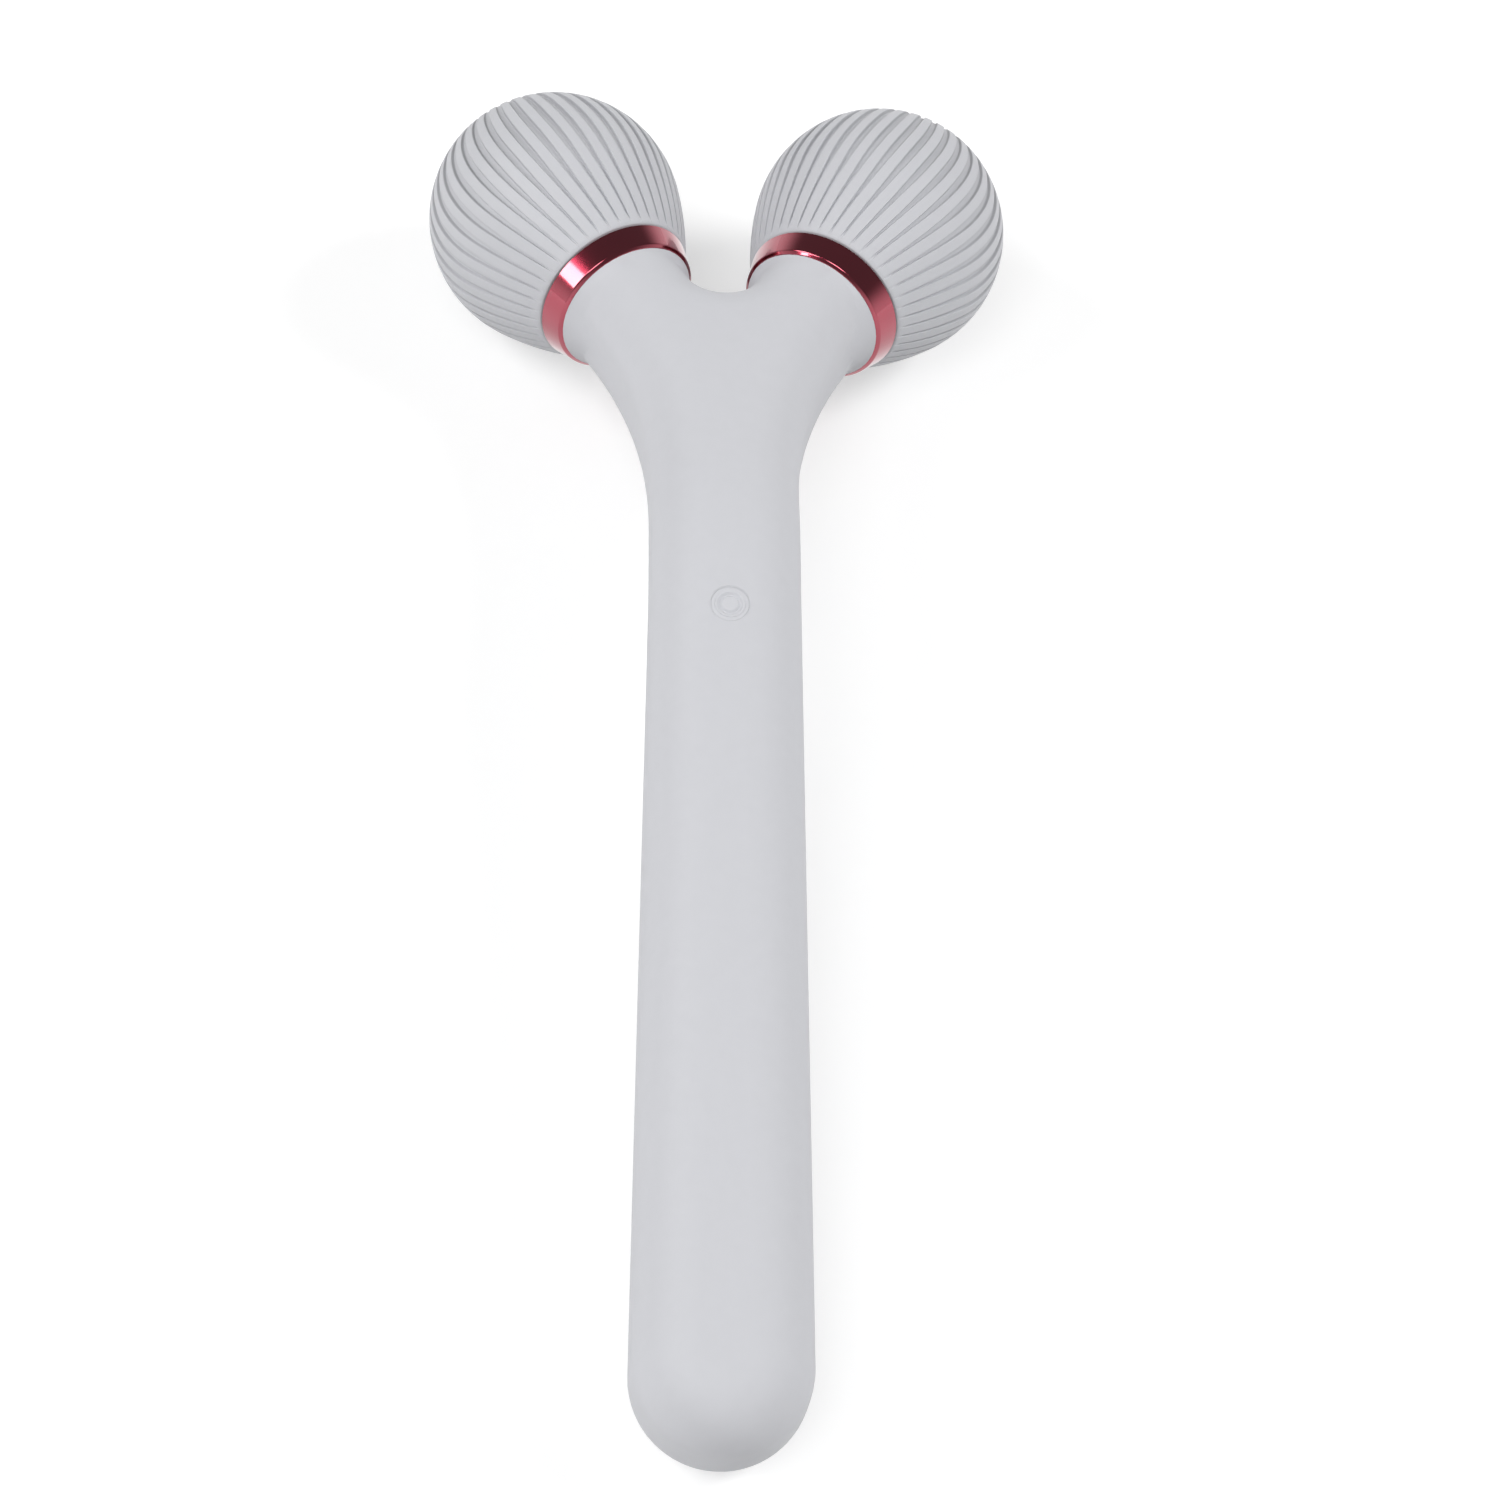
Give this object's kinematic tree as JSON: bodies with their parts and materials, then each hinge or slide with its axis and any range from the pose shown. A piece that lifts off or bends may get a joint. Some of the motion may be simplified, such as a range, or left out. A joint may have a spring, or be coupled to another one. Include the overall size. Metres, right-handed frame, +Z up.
{
  "type": "sonic facial roller",
  "caption": "Handheld sonic facial roller: soft bent handle with a power button, forking into arms with free-spinning ribbed ball rollers on bright neck rings.",
  "frame": {"origin": "middle of the bounding box's underside, where both balls and the handle's end lie on the surface", "axes": "+Y from the handle's end to the rollers, +X to the right, +Z up, on the button's side"},
  "size_m": [0.0686, 0.1706, 0.03],
  "materials": {
    "soft_skin": "soft-touch matte, light cool grey",
    "roller_silicone": "ribbed matte silicone, light cool grey",
    "trim_metal": "gloss burgundy metallic",
    "structural_plastic": "plain moulded",
    "bearing_plastic": "self-lubricating",
    "steel": "turned",
    "board": "coated laminate",
    "chip": "moulded",
    "cell": "sleeved can",
    "contact": "gold plated",
    "button_soft": "soft-touch matte, as the skin"
  },
  "bodies": {
    "handle": {"handle_skin": "soft_skin", "chassis_front": "structural_plastic", "chassis_rear": "structural_plastic", "tact_switch": "chip", "driver_chip": "chip", "charge_chip": "chip", "circuit_board": "board", "board_tray": "structural_plastic", "battery": "cell", "battery_tabs": "steel", "battery_tray": "structural_plastic", "charge_socket": "structural_plastic", "charge_contacts": "contact", "motor_can": "steel", "motor_cradle": "structural_plastic", "left_trim_ring": "trim_metal", "left_neck_hub": "structural_plastic", "left_axle": "steel", "left_thrust_washer": "bearing_plastic", "left_axle_clip": "steel", "right_trim_ring": "trim_metal", "right_neck_hub": "structural_plastic", "right_axle": "steel", "right_thrust_washer": "bearing_plastic", "right_axle_clip": "steel"},
    "button": {"button_cap": "button_soft", "button_plunger": "structural_plastic"},
    "motor_rotor": {"motor_shaft": "steel", "motor_weight": "steel"},
    "left_roller": {"left_roller_core": "structural_plastic", "left_roller_cover": "roller_silicone", "left_neck_bush": "bearing_plastic", "left_tip_bush": "bearing_plastic", "left_pole_cap": "roller_silicone"},
    "right_roller": {"right_roller_core": "structural_plastic", "right_roller_cover": "roller_silicone", "right_neck_bush": "bearing_plastic", "right_tip_bush": "bearing_plastic", "right_pole_cap": "roller_silicone"}
  },
  "joints": [
    {"name": "left_roller_spin", "type": "hinge", "parent": "handle", "child": "left_roller", "pos_m": [-0.01933, 0.07034, 0.015], "axis": [-0.4955, 0.8625, -0.1027], "continuous": true},
    {"name": "right_roller_spin", "type": "hinge", "parent": "handle", "child": "right_roller", "pos_m": [0.01933, 0.07034, 0.015], "axis": [0.4955, 0.8625, -0.1027], "continuous": true},
    {"name": "button_press", "type": "slide", "parent": "handle", "child": "button", "axis": [0, -0.1376, 0.9905], "range_m": [-0.00035, 0], "stiffness_N_per_m": 1500, "springref_m": 0.0006},
    {"name": "motor_spin", "type": "hinge", "parent": "handle", "child": "motor_rotor", "pos_m": [0, 0.03866, 0.01877], "axis": [0, 0.993, -0.1182], "continuous": true}
  ]
}
